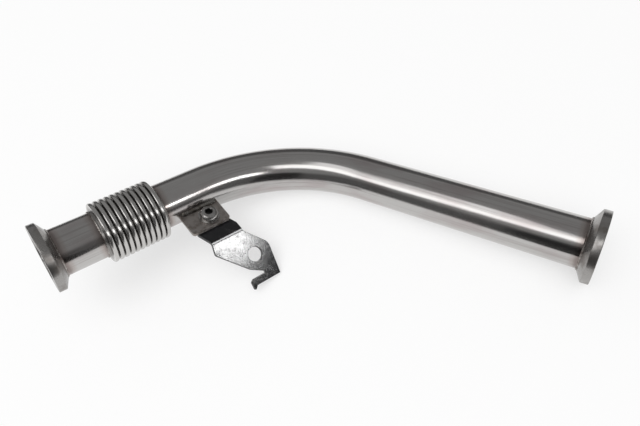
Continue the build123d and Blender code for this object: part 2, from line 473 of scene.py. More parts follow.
@dataclass(frozen=True)
class FoldedSheet:
    """Thin stainless sheet of the bellows, bright on its crests, with painted shade darkening its
    folds.
    """

    crest_radius: float
    root_radius: float
    bright: Colour = colour(0.56, 0.55, 0.535)
    # Darker colour painted into the folds as their shade.
    dull: Colour = colour(0.30, 0.29, 0.28)
    lines: Grain = Grain(1500.0, 3.0, 0.6)
    line_stretch: float = 0.03
    line_depth: float = 0.002 * MM
    clouds: Grain = Grain(150.0)

    def material(self) -> bpy.types.Material:
        """Build the finish.

        Returns:
            The material.
        """
        sheet = NodeSheet("folded_sheet")
        straight = sheet.straight()
        crest = sheet.span(sheet.radius(straight), self.root_radius, self.crest_radius)
        drawn = sheet.scaled(straight, (1.0, self.line_stretch, self.line_stretch))
        clouds = sheet.noise(straight, self.clouds)
        # Painted shade: the base colour runs from the bright crests down to the darker fold colour
        # in the gaps, broken up by patches.
        patched = sheet.math("MULTIPLY", crest, sheet.span(clouds, 0.2, 0.6, 0.75, 1.0))
        sheet.set(Base_Color=sheet.blend(patched, self.dull, self.bright), Metallic=1.0)
        sheet.set(Roughness=sheet.span(crest, 0.0, 1.0, 0.34, 0.2))
        sheet.set(Normal=sheet.bump(sheet.noise(drawn, self.lines), self.line_depth))
        return sheet.material


@dataclass(frozen=True)
class PatchyFinish:
    """A finish in two colours that lie in patches, over a fine grain."""

    name: str
    clean: Colour
    patched: Colour
    patches: Grain
    patch_edge: tuple[float, float]
    roughness: tuple[float, float]
    grain: Grain
    grain_depth: float
    grain_stretch: float = 1.0
    metallic: float = 1.0
    specular: float = 0.5

    def material(self) -> bpy.types.Material:
        """Build the finish.

        Returns:
            The material.
        """
        sheet = NodeSheet(self.name)
        place = sheet.place()
        patches = sheet.noise(place, self.patches)
        grain = sheet.noise(sheet.scaled(place, (self.grain_stretch, 1.0, 1.0)), self.grain)
        share = sheet.span(patches, *self.patch_edge)
        sheet.set(Base_Color=sheet.blend(share, self.clean, self.patched))
        sheet.set(Roughness=sheet.span(patches, 0.3, 0.7, *self.roughness))
        sheet.set(Metallic=self.metallic, Specular_IOR_Level=self.specular)
        sheet.set(Normal=sheet.bump(grain, self.grain_depth))
        return sheet.material


WELD_METAL = PatchyFinish(
    name="weld_metal",
    clean=colour(0.40, 0.375, 0.355),
    patched=colour(0.19, 0.155, 0.14),
    patches=Grain(190.0, 3.0, 0.6),
    patch_edge=(0.4, 0.65),
    roughness=(0.22, 0.42),
    grain=Grain(420.0),
    grain_depth=0.06 * MM,
)
# A darker copy of the weld finish, used on the tab's beads: its colour paints the shade in the
# corner between the tab and the tube.
SHADED_WELD = replace(
    WELD_METAL, name="painted_shade_weld", clean=colour(0.26, 0.25, 0.235), patched=colour(0.13, 0.115, 0.10)
)
MILL_PLATE = PatchyFinish(
    name="mill_plate",
    clean=colour(0.40, 0.37, 0.35),
    patched=colour(0.22, 0.19, 0.17),
    patches=Grain(130.0, 4.0, 0.65),
    patch_edge=(0.42, 0.66),
    roughness=(0.38, 0.52),
    grain=Grain(700.0, 3.0, 0.7),
    grain_depth=0.02 * MM,
    grain_stretch=0.12,
)
BLACK_PAINT = PatchyFinish(
    name="black_paint",
    clean=colour(0.006, 0.006, 0.007),
    patched=colour(0.02, 0.02, 0.021),
    patches=Grain(240.0, 4.0, 0.7),
    patch_edge=(0.5, 0.75),
    roughness=(0.09, 0.2),
    grain=Grain(1200.0, 2.0, 0.6),
    grain_depth=0.036 * MM,
    metallic=0.0,
    specular=0.4,
)
SCREW_STEEL = PatchyFinish(
    name="screw_steel",
    clean=colour(0.44, 0.43, 0.42),
    patched=colour(0.24, 0.23, 0.22),
    patches=Grain(330.0, 4.0, 0.65),
    patch_edge=(0.42, 0.66),
    roughness=(0.2, 0.36),
    grain=Grain(1400.0),
    grain_depth=0.01 * MM,
)
# A very dark copy of the screw finish for the inside of the socket: its colour paints the shade in
# that recess.
SOCKET_SHADE = replace(
    SCREW_STEEL,
    name="socket_painted_shade",
    clean=colour(0.07, 0.068, 0.065),
    patched=colour(0.03, 0.03, 0.03),
)
WASHER_STEEL = replace(
    SCREW_STEEL, name="washer_steel", clean=colour(0.42, 0.41, 0.4), patched=colour(0.2, 0.19, 0.18)
)
NUT_STEEL = replace(
    SCREW_STEEL, name="nut_steel", clean=colour(0.44, 0.43, 0.41), patched=colour(0.25, 0.23, 0.21)
)

SMOOTH_LIMIT = math.radians(32.0)
MERGE = 0.001 * MM
NEAR = 0.01 * MM


def mesh_of(name: str, bm: bmesh.types.BMesh, *materials: bpy.types.Material) -> bpy.types.Mesh:
    """Turn a shape into a mesh with its materials, and free the shape.

    Args:
        name: The mesh's name.
        bm: The shape.
        materials: The materials in the order of their slots.

    Returns:
        The mesh.
    """
    mesh = bpy.data.meshes.new(name)
    bm.to_mesh(mesh)
    bm.free()
    for material in materials:
        mesh.materials.append(material)
    return mesh


def put(name: str, data: bpy.types.ID) -> bpy.types.Object:
    """Make an object and put it in the scene.

    Args:
        name: The object's name.
        data: The mesh, lamp or camera that it shows.

    Returns:
        The object.
    """
    made = bpy.data.objects.new(name, data)
    bpy.context.scene.collection.objects.link(made)
    return made


def verts_in(geometry: Iterable[Any]) -> list[bmesh.types.BMVert]:
    """The points among some geometry."""
    return [item for item in geometry if isinstance(item, bmesh.types.BMVert)]


def open_edges_in(geometry: Iterable[Any]) -> list[bmesh.types.BMEdge]:
    """The edges among some geometry that have a face on one side only."""
    return [item for item in geometry if isinstance(item, bmesh.types.BMEdge) and item.is_boundary]


class Piece:
    """A mesh being shaped, which becomes one piece of the pipe."""

    def __init__(self, name: str) -> None:
        """Start an empty mesh under the piece's name."""
        self.name = name
        self.bm = bmesh.new()

    def chain(self, points: Iterable[Vector], closed: bool) -> list[bmesh.types.BMEdge]:
        """Draw a line of edges through points.

        Args:
            points: The points in order.
            closed: Whether the last point joins the first.

        Returns:
            The new edges.
        """
        verts = [self.bm.verts.new(point) for point in points]
        follows = verts[1:] + verts[:1] if closed else verts[1:]
        return [self.bm.edges.new(pair) for pair in zip(verts, follows)]

    def spin(
        self, axis: Vector, steps: int, angle: float = math.tau, rise: Vector | None = None
    ) -> None:
        """Spin everything drawn so far about a line through the origin.

        Args:
            axis: The line's direction.
            steps: Number of steps in the whole angle.
            angle: How far to turn.
            rise: How far each step moves on, if the spin climbs or runs straight.
        """
        whole = math.isclose(angle, math.tau) and rise is None
        bmesh.ops.spin(
            self.bm,
            geom=self.bm.verts[:] + self.bm.edges[:],
            cent=(0.0, 0.0, 0.0),
            axis=axis,
            dvec=rise or (0.0, 0.0, 0.0),
            angle=angle,
            steps=steps,
            use_merge=whole,
            use_duplicate=False,
        )
        self.close()

    def close(self) -> None:
        """Merge doubled points and turn every face outwards."""
        bmesh.ops.remove_doubles(self.bm, verts=self.bm.verts, dist=MERGE)
        bmesh.ops.recalc_face_normals(self.bm, faces=self.bm.faces)

    def cap(self, at_end: Callable[[Vector], bool]) -> None:
        """Close the open ring of edges that starts at one end."""
        ring = [edge for edge in open_edges_in(self.bm.edges) if at_end(edge.verts[0].co)]
        bmesh.ops.contextual_create(self.bm, geom=ring)

    def bevel(self, width: float, over: float, segments: int = 3) -> None:
        """Round the edges that turn more sharply than an angle.

        Args:
            width: How far the rounding reaches from an edge.
            over: The angle in radians.
            segments: Number of faces across a rounding.
        """
        sharp = [edge for edge in self.bm.edges if edge.calc_face_angle(0.0) > over]
        bmesh.ops.bevel(
            self.bm,
            geom=sharp,
            offset=width,
            offset_type="OFFSET",
            affect="EDGES",
            segments=segments,
            profile=0.5,
            material=-1,
            clamp_overlap=False,
        )

    def shape(self, place: Callable[[Vector], Vector]) -> None:
        """Move each point by a formula."""
        for vert in self.bm.verts:
            vert.co = place(vert.co)

    def keep_straight(self) -> None:
        """Store each point's present place for the finish to read."""
        layer = self.bm.verts.layers.float_vector.new(STRAIGHT)
        for vert in self.bm.verts:
            vert[layer] = vert.co

    def finish(self, material: bpy.types.Material, slot: Slot, *nodes: str) -> bpy.types.Object:
        """Make the object, dress it and put it in the CAD nodes' place.

        Args:
            material: The finish.
            slot: The record's material slot; not used.
            nodes: The CAD nodes that the piece stands for.

        Returns:
            The new object.
        """
        for face in self.bm.faces:
            face.smooth = True
        for edge in self.bm.edges:
            edge.smooth = edge.calc_face_angle(0.0) < SMOOTH_LIMIT
        made = put(self.name, mesh_of(self.name, self.bm, material))
        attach(made, BODY)
        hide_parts(*nodes)
        LOG.info("%s: %d faces", self.name, len(made.data.polygons))
        return made


ALONG = Vector((1.0, 0.0, 0.0))
UP = Vector((0.0, 0.0, 1.0))


@dataclass(frozen=True)
class TubeEnd:
    """One end of the pipe: stations are measured from its face into the pipe."""

    pipe: PipeFrame
    from_outlet: bool = False

    def station(self, depth: float) -> float:
        """Station on the whole pipe at a depth from this end's face."""
        return self.pipe.length - depth if self.from_outlet else depth


@dataclass
class PipeRun:
    """The turned and folded pieces along the centreline."""

    pipe: PipeFrame
    wall: float = 1.5 * MM
    around: int = 96
    ring_spacing: float = 2.5 * MM
    flange_radius: float = 25.5 * MM
    flange_rim: float = 5.4 * MM
    flange_cone: float = 4.0 * MM
    neck_wall: float = 1.0 * MM
    flange_lip: float = 2.0 * MM
    flange_rounding: float = 0.45 * MM
    socket_gap: float = 0.1 * MM
    bellows_start: float = 40.4 * MM
    bellows_radius: float = 23.3 * MM
    bellows_wall: float = 0.5 * MM
    folds: int = 11
    fold_pitch: float = 4.05 * MM
    fold_gap: float = 0.5 * MM
    crest_height: float = 1.4 * MM
    crest_fullness: float = 2.7
    cuff: float = 1.2 * MM
    end_gap: float = 0.4 * MM
    cuff_weld: float = 0.8 * MM
    flange_ripples: int = 46
    seam_ripples: int = 60
    scale_rise: float = 0.16
    scale_lean: float = 0.35
    uneven_rise: float = 0.1
    uneven_density: float = 160.0

    @property
    def tube_radius(self) -> float:
        """Outside radius of both tubes."""
        return self.pipe.bore_radius + self.wall

    @property
    def socket_radius(self) -> float:
        """Inside radius of the flange sockets and the bellows cuffs."""
        return self.tube_radius + self.socket_gap

    @property
    def flange_weld(self) -> float:
        """Size of the beads that fill the step between the flange necks and the tube."""
        return self.socket_gap + self.neck_wall

    @property
    def bellows_end(self) -> float:
        """Station where the folds end."""
        return self.bellows_start + self.folds * self.fold_pitch

    def lay(self, piece: Piece) -> None:
        """Store the straightened places and bend the piece along the centreline.

        Args:
            piece: The piece along the straight line.
        """
        piece.keep_straight()
        piece.shape(self.pipe.lay)
        bmesh.ops.recalc_face_normals(piece.bm, faces=piece.bm.faces)

    def tube(
        self, name: str, node: str, start: float, end: float, finish: bpy.types.Material
    ) -> None:
        """Make a round tube between two stations.

        Args:
            name: The piece's name.
            node: The CAD node that it stands for.
            start: Station of its first end.
            end: Station of its last end.
            finish: Its material.
        """
        piece = Piece(name)
        inner, outer = self.pipe.bore_radius, self.tube_radius
        corners = [(start, outer), (end, outer), (end, inner), (start, inner)]
        edges = piece.chain([Vector((x, r, 0.0)) for x, r in corners], closed=True)
        rings = max(2, round((end - start) / self.ring_spacing))
        bmesh.ops.subdivide_edges(piece.bm, edges=[edges[0], edges[2]], cuts=rings)
        piece.spin(ALONG, self.around)
        self.lay(piece)
        piece.finish(finish, Slot.TUBE, node)

    def flange(self, name: str, node: str, end: TubeEnd, finish: bpy.types.Material) -> None:
        """Make a clamp flange: flat face, rim, cone and socket, with rounded edges.

        Args:
            name: The piece's name.
            node: The CAD node that it stands for.
            end: The end of the pipe that it sits on.
            finish: Its material.
        """
        piece = Piece(name)
        neck = self.socket_radius + self.neck_wall
        depth = self.flange_rim + self.flange_cone
        outline = [
            (0.0, self.pipe.bore_radius),
            (0.0, self.flange_radius),
            (self.flange_rim, self.flange_radius),
            (depth, neck),
            (depth, self.socket_radius),
            (self.flange_lip, self.socket_radius),
            (self.flange_lip, self.pipe.bore_radius),
        ]
        piece.chain([Vector((end.station(x), r, 0.0)) for x, r in outline], closed=True)
        piece.spin(ALONG, self.around)
        piece.bevel(self.flange_rounding, math.radians(30.0))
        self.lay(piece)
        piece.finish(finish, Slot.FLANGE, node)

    def half_fold(self, root: float) -> list[tuple[float, float]]:
        """Half a fold's section, from the middle of a gap to the top of a crest.

        Args:
            root: Radius at the bottom of the gaps.

        Returns:
            Distances along and from the centreline.
        """
        gap, power = self.fold_gap, 2 / self.crest_fullness
        reach = self.fold_pitch / 2 - gap
        base = self.bellows_radius - self.crest_height
        turns = [math.radians(22.5 * step) for step in range(5)]
        section = [(gap * math.sin(turn), root + gap * (1 - math.cos(turn))) for turn in turns]
        for step in range(9):
            turn = math.radians(11.25 * step)
            along = reach * math.cos(turn) ** power if step < 8 else 0.0
            radius = base + self.crest_height * math.sin(turn) ** power
            section.append((self.fold_pitch / 2 - along, radius))
        return section

    def bellows(self, finish: bpy.types.Material) -> None:
        """Make the bellows: one thin wall in rounded folds between two cuffs.

        Args:
            finish: Its material.
        """
        piece = Piece("bellows_wall")
        root = self.socket_radius + self.bellows_wall
        half = self.half_fold(root)
        line = [Vector((self.bellows_start - self.cuff, root, 0.0))]
        for fold in range(self.folds):
            start = self.bellows_start + fold * self.fold_pitch
            line += [Vector((start + x, r, 0.0)) for x, r in half]
            line += [Vector((start + self.fold_pitch - x, r, 0.0)) for x, r in half[-2:0:-1]]
        line += [Vector((x, root, 0.0)) for x in (self.bellows_end, self.bellows_end + self.cuff)]
        piece.chain(line, closed=False)
        piece.spin(ALONG, self.around)
        outside = piece.bm.faces[:]
        if outside[0].normal.dot(outside[0].calc_center_median() * Vector((0, 1, 1))) < 0:
            bmesh.ops.reverse_faces(piece.bm, faces=outside)
        bmesh.ops.solidify(piece.bm, geom=outside, thickness=self.bellows_wall)
        self.lay(piece)
        piece.finish(finish, Slot.BELLOWS, "bellows")

    def ring_weld(
        self, name: str, node: str, shoulder: float, towards: float, leg: float, ripples: int,
        finish: bpy.types.Material,
    ) -> None:
        """Make a rippled weld bead around the tube.

        Args:
            name: The piece's name.
            node: The CAD node that it stands for.
            shoulder: Station of the shoulder that the bead leans on.
            towards: 1 if the bead runs on from the shoulder towards the outlet, or else -1.
            leg: How far the bead reaches along the tube and up the shoulder.
            ripples: Number of ripples around the tube.
            finish: Its material.
        """
        piece = Piece(name)
        curve, fullness, steps_each = 7, 0.55, 7
        line = []
        for step in range(curve + 1):
            share = step / curve
            angle = share * math.pi / 2
            out = (1 - fullness) * share + fullness * math.sin(angle)
            up = (1 - fullness) * (1 - share) + fullness * math.cos(angle)
            line.append(Vector((shoulder + towards * leg * out, self.tube_radius + leg * up, 0.0)))
        line.append(Vector((shoulder, self.tube_radius, 0.0)))
        piece.chain(line, closed=True)
        piece.spin(ALONG, ripples * steps_each)

        def rippled(place: Vector) -> Vector:
            """Raise the bead's skin in overlapping scales.

            Args:
                place: The point.

            Returns:
                Where it moves to.
            """
            radius = math.hypot(place.y, place.z)
            out = abs(place.x - shoulder) / leg
            up = (radius - self.tube_radius) / leg
            skin = min(1.0, 2.2 * min(out, up))
            lean = self.scale_lean * math.tau / ripples * (out - up)
            scale = ((math.atan2(place.z, place.y) + lean) * ripples / math.tau) % 1.0
            uneven = noise.noise(Vector((place.x, place.y, place.z)) * self.uneven_density)
            rise = skin * leg * (self.scale_rise * scale**2 - 0.05 + self.uneven_rise * uneven)
            swollen = radius + rise
            across, height = place.y * swollen / radius, place.z * swollen / radius
            return Vector((place.x + towards * rise, across, height))

        piece.shape(rippled)
        self.lay(piece)
        piece.finish(finish, Slot.WELD, node)


@dataclass
class TabAndBracket:
    """The tab on the first run, and the bracket that is screwed to it."""

    pipe: PipeFrame
    nodes: dict[str, bpy.types.Object]
    tube_radius: float
    droop: float = math.radians(14.0)
    tab_start: float = 94.4 * MM
    tab_width: float = 32.0 * MM
    tab_thickness: float = 3.0 * MM
    weld_leg: float = 2.4 * MM
    weld_inset: float = 1.2 * MM
    screw_station: float = 113.0 * MM
    screw_reach: float = 29.0 * MM
    washer_thickness: float = 1.6 * MM
    head_radius: float = 7.0 * MM
    head_height: float = 4.4 * MM
    head_top: float = 3.7 * MM
    head_rim: float = 0.8 * MM
    socket_flats: float = 5.0 * MM
    socket_depth: float = 2.6 * MM
    socket_rim: float = 0.25 * MM
    socket_chamfer: float = 0.3 * MM
    shank_radius: float = 4.0 * MM
    shank_length: float = 16.0 * MM
    thread_start: float = 4.0 * MM
    thread_pitch: float = 1.25 * MM
    thread_depth: float = 0.68 * MM
    edge_rounding: float = 0.35 * MM
    fastener_rounding: float = 0.2 * MM

    @property
    def outwards(self) -> Vector:
        """The way the tab leaves the tube, in the pipe's frame."""
        return Vector((0.0, -math.cos(self.droop), -math.sin(self.droop)))

    @property
    def upwards(self) -> Vector:
        """The way the screw's head looks, in the pipe's frame."""
        return -ALONG.cross(self.outwards)

    def from_node(
        self, name: str, node: str, rounding: float, finish: bpy.types.Material, slot: Slot
    ) -> None:
        """Give a CAD node's own shape rounded edges.

        Args:
            name: The piece's name.
            node: The CAD node whose shape it takes.
            rounding: Width of the rounding on its edges.
            finish: Its material.
            slot: The record's material slot.
        """
        piece = Piece(name)
        piece.bm.from_mesh(self.nodes[node].data)
        piece.close()
        bmesh.ops.dissolve_limit(
            piece.bm, angle_limit=math.radians(0.8), verts=piece.bm.verts, edges=piece.bm.edges
        )
        piece.bevel(rounding, math.radians(34.0))
        made = piece.finish(finish, slot, node)
        made.modifiers.new("flat_faces", "WEIGHTED_NORMAL").keep_sharp = True

    def screw_place(self) -> Matrix:
        """The screw's seat under its head, with z up through the head and x along the tube.

        Returns:
            The seat in the row frame.
        """
        seat = (
            ALONG * self.screw_station
            + self.outwards * self.screw_reach
            + self.upwards * (self.tab_thickness / 2 + self.washer_thickness)
        )
        turned = Matrix((ALONG, self.upwards.cross(ALONG), self.upwards)).transposed()
        return self.pipe.to_row @ Matrix.Translation(seat) @ turned.to_4x4()

    def screw(self, finish: bpy.types.Material, socket_shade: bpy.types.Material) -> None:
        """Make the round-headed screw: domed head, six-sided socket and cut thread.

        Args:
            finish: Its material.
            socket_shade: The material of the socket's inside, whose very dark colour is painted
                shade.
        """
        piece = Piece("round_head_screw")
        around, dome_steps = 72, 10
        line = [
            Vector((self.shank_radius, 0.0, -self.thread_start)),
            Vector((self.shank_radius, 0.0, 0.0)),
            Vector((self.head_radius, 0.0, 0.0)),
        ]
        for step in range(dome_steps + 1):
            angle = step / dome_steps * math.pi / 2
            reach = self.head_top + (self.head_radius - self.head_top) * math.cos(angle)
            rise = self.head_rim + (self.head_height - self.head_rim) * math.sin(angle)
            line.append(Vector((reach, 0.0, rise)))
        socket = self.socket_flats / math.sqrt(3)
        line.append(Vector((socket + self.socket_rim, 0.0, self.head_height)))
        piece.chain(line, closed=False)
        piece.spin(UP, around)
        piece.bm.edges.ensure_lookup_table()
        rim = [
            edge for edge in piece.bm.edges
            if edge.is_boundary and edge.verts[0].co.z > self.head_height / 2
        ]
        self.cut_socket(piece, rim)
        self.cut_thread(piece)
        piece.close()
        # Faces inside the socket take the second material, whose dark colour paints the socket's
        # shade.
        for face in piece.bm.faces:
            middle = face.calc_center_median()
            inside = math.hypot(middle.x, middle.y) < socket and middle.z > self.head_rim
            face.material_index = int(inside)
        piece.bm.transform(self.screw_place())
        bmesh.ops.recalc_face_normals(piece.bm, faces=piece.bm.faces)
        made = piece.finish(finish, Slot.SCREW, "bracket_screw")
        made.data.materials.append(socket_shade)

    def cut_socket(self, piece: Piece, rim: list[bmesh.types.BMEdge]) -> None:
        """Sink a six-sided socket from the head's round opening.

        Args:
            piece: The screw.
            rim: The edges of the round opening.
        """
        flat = self.socket_flats / 2

        def on_hexagon(place: Vector) -> Vector:
            """Move a point of the ring onto the socket's six sides.

            Args:
                place: The point.

            Returns:
                Where it moves to.
            """
            angle = math.atan2(place.y, place.x)
            side = (angle + math.pi / 6) % (math.pi / 3) - math.pi / 6
            reach = flat / math.cos(side)
            return Vector((reach * math.cos(angle), reach * math.sin(angle), place.z))

        mouth = bmesh.ops.extrude_edge_only(piece.bm, edges=rim)["geom"]
        for vert in verts_in(mouth):
            vert.co = on_hexagon(vert.co) - UP * self.socket_chamfer
        deep = bmesh.ops.extrude_edge_only(piece.bm, edges=open_edges_in(mouth))["geom"]
        for vert in verts_in(deep):
            vert.co.z = self.head_height - self.socket_depth
        bmesh.ops.contextual_create(piece.bm, geom=open_edges_in(deep))

    def cut_thread(self, piece: Piece) -> None:
        """Wind a thread down the shank, cut it off at both ends and close its lower end.

        Args:
            piece: The screw.
        """
        steps, crest = 36, self.thread_pitch / 8
        start = -self.thread_start + self.thread_pitch
        turns = math.ceil((self.shank_length - self.thread_start) / self.thread_pitch) + 2
        root = self.shank_radius - self.thread_depth
        tooth = [
            (root, 0.0),
            (root, -self.thread_pitch / 4),
            (self.shank_radius, -(self.thread_pitch * 5 / 8 - crest)),
            (self.shank_radius, -(self.thread_pitch * 5 / 8 + crest / 2)),
            (root, -self.thread_pitch),
        ]
        thread = Piece("thread")
        thread.chain([Vector((r, 0.0, start + z)) for r, z in tooth], closed=False)
        thread.spin(
            UP, steps * turns, angle=math.tau * turns, rise=UP * (-self.thread_pitch / steps)
        )
        for level, side in ((-self.thread_start, 1.0), (-self.shank_length, -1.0)):
            bmesh.ops.bisect_plane(
                thread.bm,
                geom=thread.bm.verts[:] + thread.bm.edges[:] + thread.bm.faces[:],
                dist=MERGE,
                plane_co=(0.0, 0.0, level),
                plane_no=(0.0, 0.0, side),
                clear_outer=True,
            )
        thread.cap(lambda place: place.z < -self.shank_length + NEAR)
        joined = mesh_of("thread", thread.bm)
        piece.bm.from_mesh(joined)
        bpy.data.meshes.remove(joined)

    def tab_weld(self, name: str, node: str, side: float, finish: bpy.types.Material) -> None:
        """Make the rippled fillet weld along one side of the tab.

        Args:
            name: The piece's name.
            node: The CAD node that it stands for.
            side: 1 above the tab, or -1 below it.
            finish: Its material.
        """
        piece = Piece(name)
        face = self.tab_thickness / 2
        corner = math.sqrt(self.tube_radius**2 - face**2)
        curve, ripple, per_ripple = 8, 1.7 * MM, 6
        start = self.tab_start + self.weld_inset
        length = self.tab_width - 2 * self.weld_inset
        tilt = math.atan2(face, corner)
        line = [Vector((start, 0.0, 0.0)), Vector((start, self.weld_leg, 0.0))]
        for step in range(1, curve + 1):
            angle = step / curve * (math.pi / 2 + tilt)
            across, height = self.weld_leg * math.cos(angle), self.weld_leg * math.sin(angle)
            line.append(Vector((start, across, height)))
        piece.chain(line, closed=True)
        steps = math.ceil(length / ripple) * per_ripple
        piece.spin(ALONG, steps, angle=0.0, rise=ALONG * (length / steps))
        for near in (start, start + length):
            piece.cap(lambda place: abs(place.x - near) < NEAR)

        def rippled(place: Vector) -> Vector:
            """Swell the bead in scales, round its ends and set it in its corner.

            Args:
                place: The point.

            Returns:
                Where it moves to.
            """
            along = place.x - start
            from_end = min(max(min(along, length - along) / self.weld_leg, 0.0), 1.0)
            fullness = math.sqrt(1 - (1 - from_end) ** 2) * 0.65 + 0.35
            uneven = noise.noise(place * 170.0)
            bow = 1 - (math.hypot(place.y, place.z) / self.weld_leg - 1) ** 2
            scale = ((along + 0.35 * place.z) / ripple) % 1.0
            swell = fullness * (0.94 + bow * (0.13 * scale**2 + 0.1 * uneven))
            out = self.outwards * (corner - 0.1 * MM + place.y * swell)
            up = self.upwards * side * (face - 0.1 * MM + place.z * swell)
            return self.pipe.point(ALONG * place.x + out + up)

        piece.shape(rippled)
        piece.close()
        piece.finish(finish, Slot.WELD, node)


def glow_sheet(name: str) -> NodeSheet:
    """Start a material that only shines, with its strength left to set.

    Args:
        name: The material's name.

    Returns:
        Its node tree.
    """
    sheet = NodeSheet(name)
    sheet.material.cycles.emission_sampling = "NONE"
    glow = sheet.add("ShaderNodeEmission")
    output = sheet.tree.nodes["Material Output"]
    sheet.tree.nodes.remove(sheet.shader)
    sheet.shader = glow
    sheet.feed(output.inputs["Surface"], glow.outputs["Emission"])
    return sheet


def mirrored_only(name: str, bm: bmesh.types.BMesh, material: bpy.types.Material) -> None:
    """Put up a surface that shows in reflections alone, and neither lights nor shades.

    Args:
        name: The surface's name.
        bm: Its shape, which is freed here.
        material: What the reflections show.
    """
    made = put(name, mesh_of(name, bm, material))
    made.visible_camera = False
    made.visible_diffuse = False
    made.visible_shadow = False


def facing(centre: Sequence[float], aim: Sequence[float], long_axis: Sequence[float]) -> Matrix:
    """The place of a flat thing that turns its back to +Z and its face to an aim.

    Args:
        centre: Its middle.
        aim: The point that it faces.
        long_axis: The direction nearest to its own +X.

    Returns:
        Its matrix in the world.
    """
    back = (Vector(centre) - Vector(aim)).normalized()
    side = Vector(long_axis)
    side = (side - back * side.dot(back)).normalized()
    return Matrix.Translation(centre) @ Matrix((side, back.cross(side), back)).transposed().to_4x4()


@dataclass(frozen=True)
class Card:
    """A flat card that only the metal mirrors, placed in the row frame."""

    name: str
    centre: tuple[float, float, float]
    aim: tuple[float, float, float]
    width: float
    height: float
    grey: float

    def build(self) -> None:
        """Put the card up, its width level."""
        bm = bmesh.new()
        bmesh.ops.create_grid(bm, x_segments=1, y_segments=1, size=0.5)
        bmesh.ops.scale(bm, vec=(self.width, self.height, 1.0), verts=bm.verts)
        back = Vector(self.centre) - Vector(self.aim)
        bm.transform(facing(self.centre, self.aim, UP.cross(back)))
        sheet = glow_sheet(self.name)
        sheet.set(Strength=self.grey)
        mirrored_only(self.name, bm, sheet.material)


@dataclass(frozen=True)
class Tent:
    """The grey room that the metal mirrors: a dome over a low dark wall."""

    radius: float = 7.0
    overhead: float = 0.29
    horizon: float = 0.36
    shade: float = 0.15
    shade_heading: float = 185.0
    wall_reach: tuple[float, float] = (0.55, 0.32)
    wall_middle: float = -0.04
    wall_height: float = 0.13
    wall_grey: float = 0.11

    def build(self) -> None:
        """Put everything up."""
        self.dome()
        self.wall()

    def dome(self) -> None:
        """Make the dome, which falls off towards the dark side of the room."""
        bm = bmesh.new()
        bmesh.ops.create_uvsphere(bm, u_segments=64, v_segments=32, radius=self.radius)
        bmesh.ops.bisect_plane(
            bm, geom=bm.verts[:] + bm.edges[:] + bm.faces[:],
            plane_co=(0.0, 0.0, 0.0), plane_no=(0.0, 0.0, -1.0), clear_outer=True,
        )
        sheet = glow_sheet("tent_light")
        place = sheet.place()
        heading = math.radians(self.shade_heading)
        height = sheet.math("DIVIDE", sheet.part(place, "Z"), self.radius)
        towards = sheet.add("ShaderNodeVectorMath", operation="DOT_PRODUCT")
        sheet.feed(towards.inputs[0], place)
        towards.inputs[1].default_value = (
            math.sin(heading) / self.radius, math.cos(heading) / self.radius, 0.0,
        )
        grey = sheet.span(height, 0.1, 0.6, self.horizon, self.overhead)
        side = sheet.span(towards.outputs["Value"], 0.15, 0.6)
        shaded = sheet.math("MULTIPLY", side, sheet.span(height, 0.62, 0.38))
        darker = sheet.math("MULTIPLY", shaded, self.shade - self.horizon)
        sheet.set(Strength=sheet.math("ADD", grey, darker))
        mirrored_only("studio_tent", bm, sheet.material)

    def wall(self) -> None:
        """Make the low wall around the floor that the metal mirrors."""
        bm = bmesh.new()
        bmesh.ops.create_circle(bm, segments=96, radius=1.0)
        bmesh.ops.scale(bm, vec=(*self.wall_reach, 1.0), verts=bm.verts)
        bmesh.ops.translate(bm, vec=(0.0, self.wall_middle, 0.0), verts=bm.verts)
        raised = bmesh.ops.extrude_edge_only(bm, edges=bm.edges[:])["geom"]
        bmesh.ops.translate(bm, vec=UP * self.wall_height, verts=verts_in(raised))
        sheet = glow_sheet("low_wall")
        sheet.set(Strength=self.wall_grey)
        mirrored_only("low_wall", bm, sheet.material)


@dataclass(frozen=True)
class Softbox:
    """A flat rectangular lamp, placed in the row frame.

    One that shows on named pieces makes only their reflections, and lights nothing.
    """

    name: str
    centre: tuple[float, float, float]
    aim: tuple[float, float, float]
    long_axis: tuple[float, float, float]
    length: float
    width: float
    radiance: float
    shows_on: tuple[str, ...] = ()

    def build(self) -> None:
        """Make the lamp."""
        lamp = bpy.data.lights.new(self.name, "AREA")
        lamp.shape = "RECTANGLE"
        lamp.size, lamp.size_y = self.length, self.width
        lamp.energy = self.radiance * math.pi * self.length * self.width
        made = put(self.name, lamp)
        made.matrix_world = facing(self.centre, self.aim, self.long_axis)
        made.visible_diffuse = not self.shows_on
        if self.shows_on:
            shown = bpy.data.collections.new(f"{self.name}_shows_on")
            for name in self.shows_on:
                shown.objects.link(bpy.data.objects[name])
            made.light_linking.receiver_collection = shown


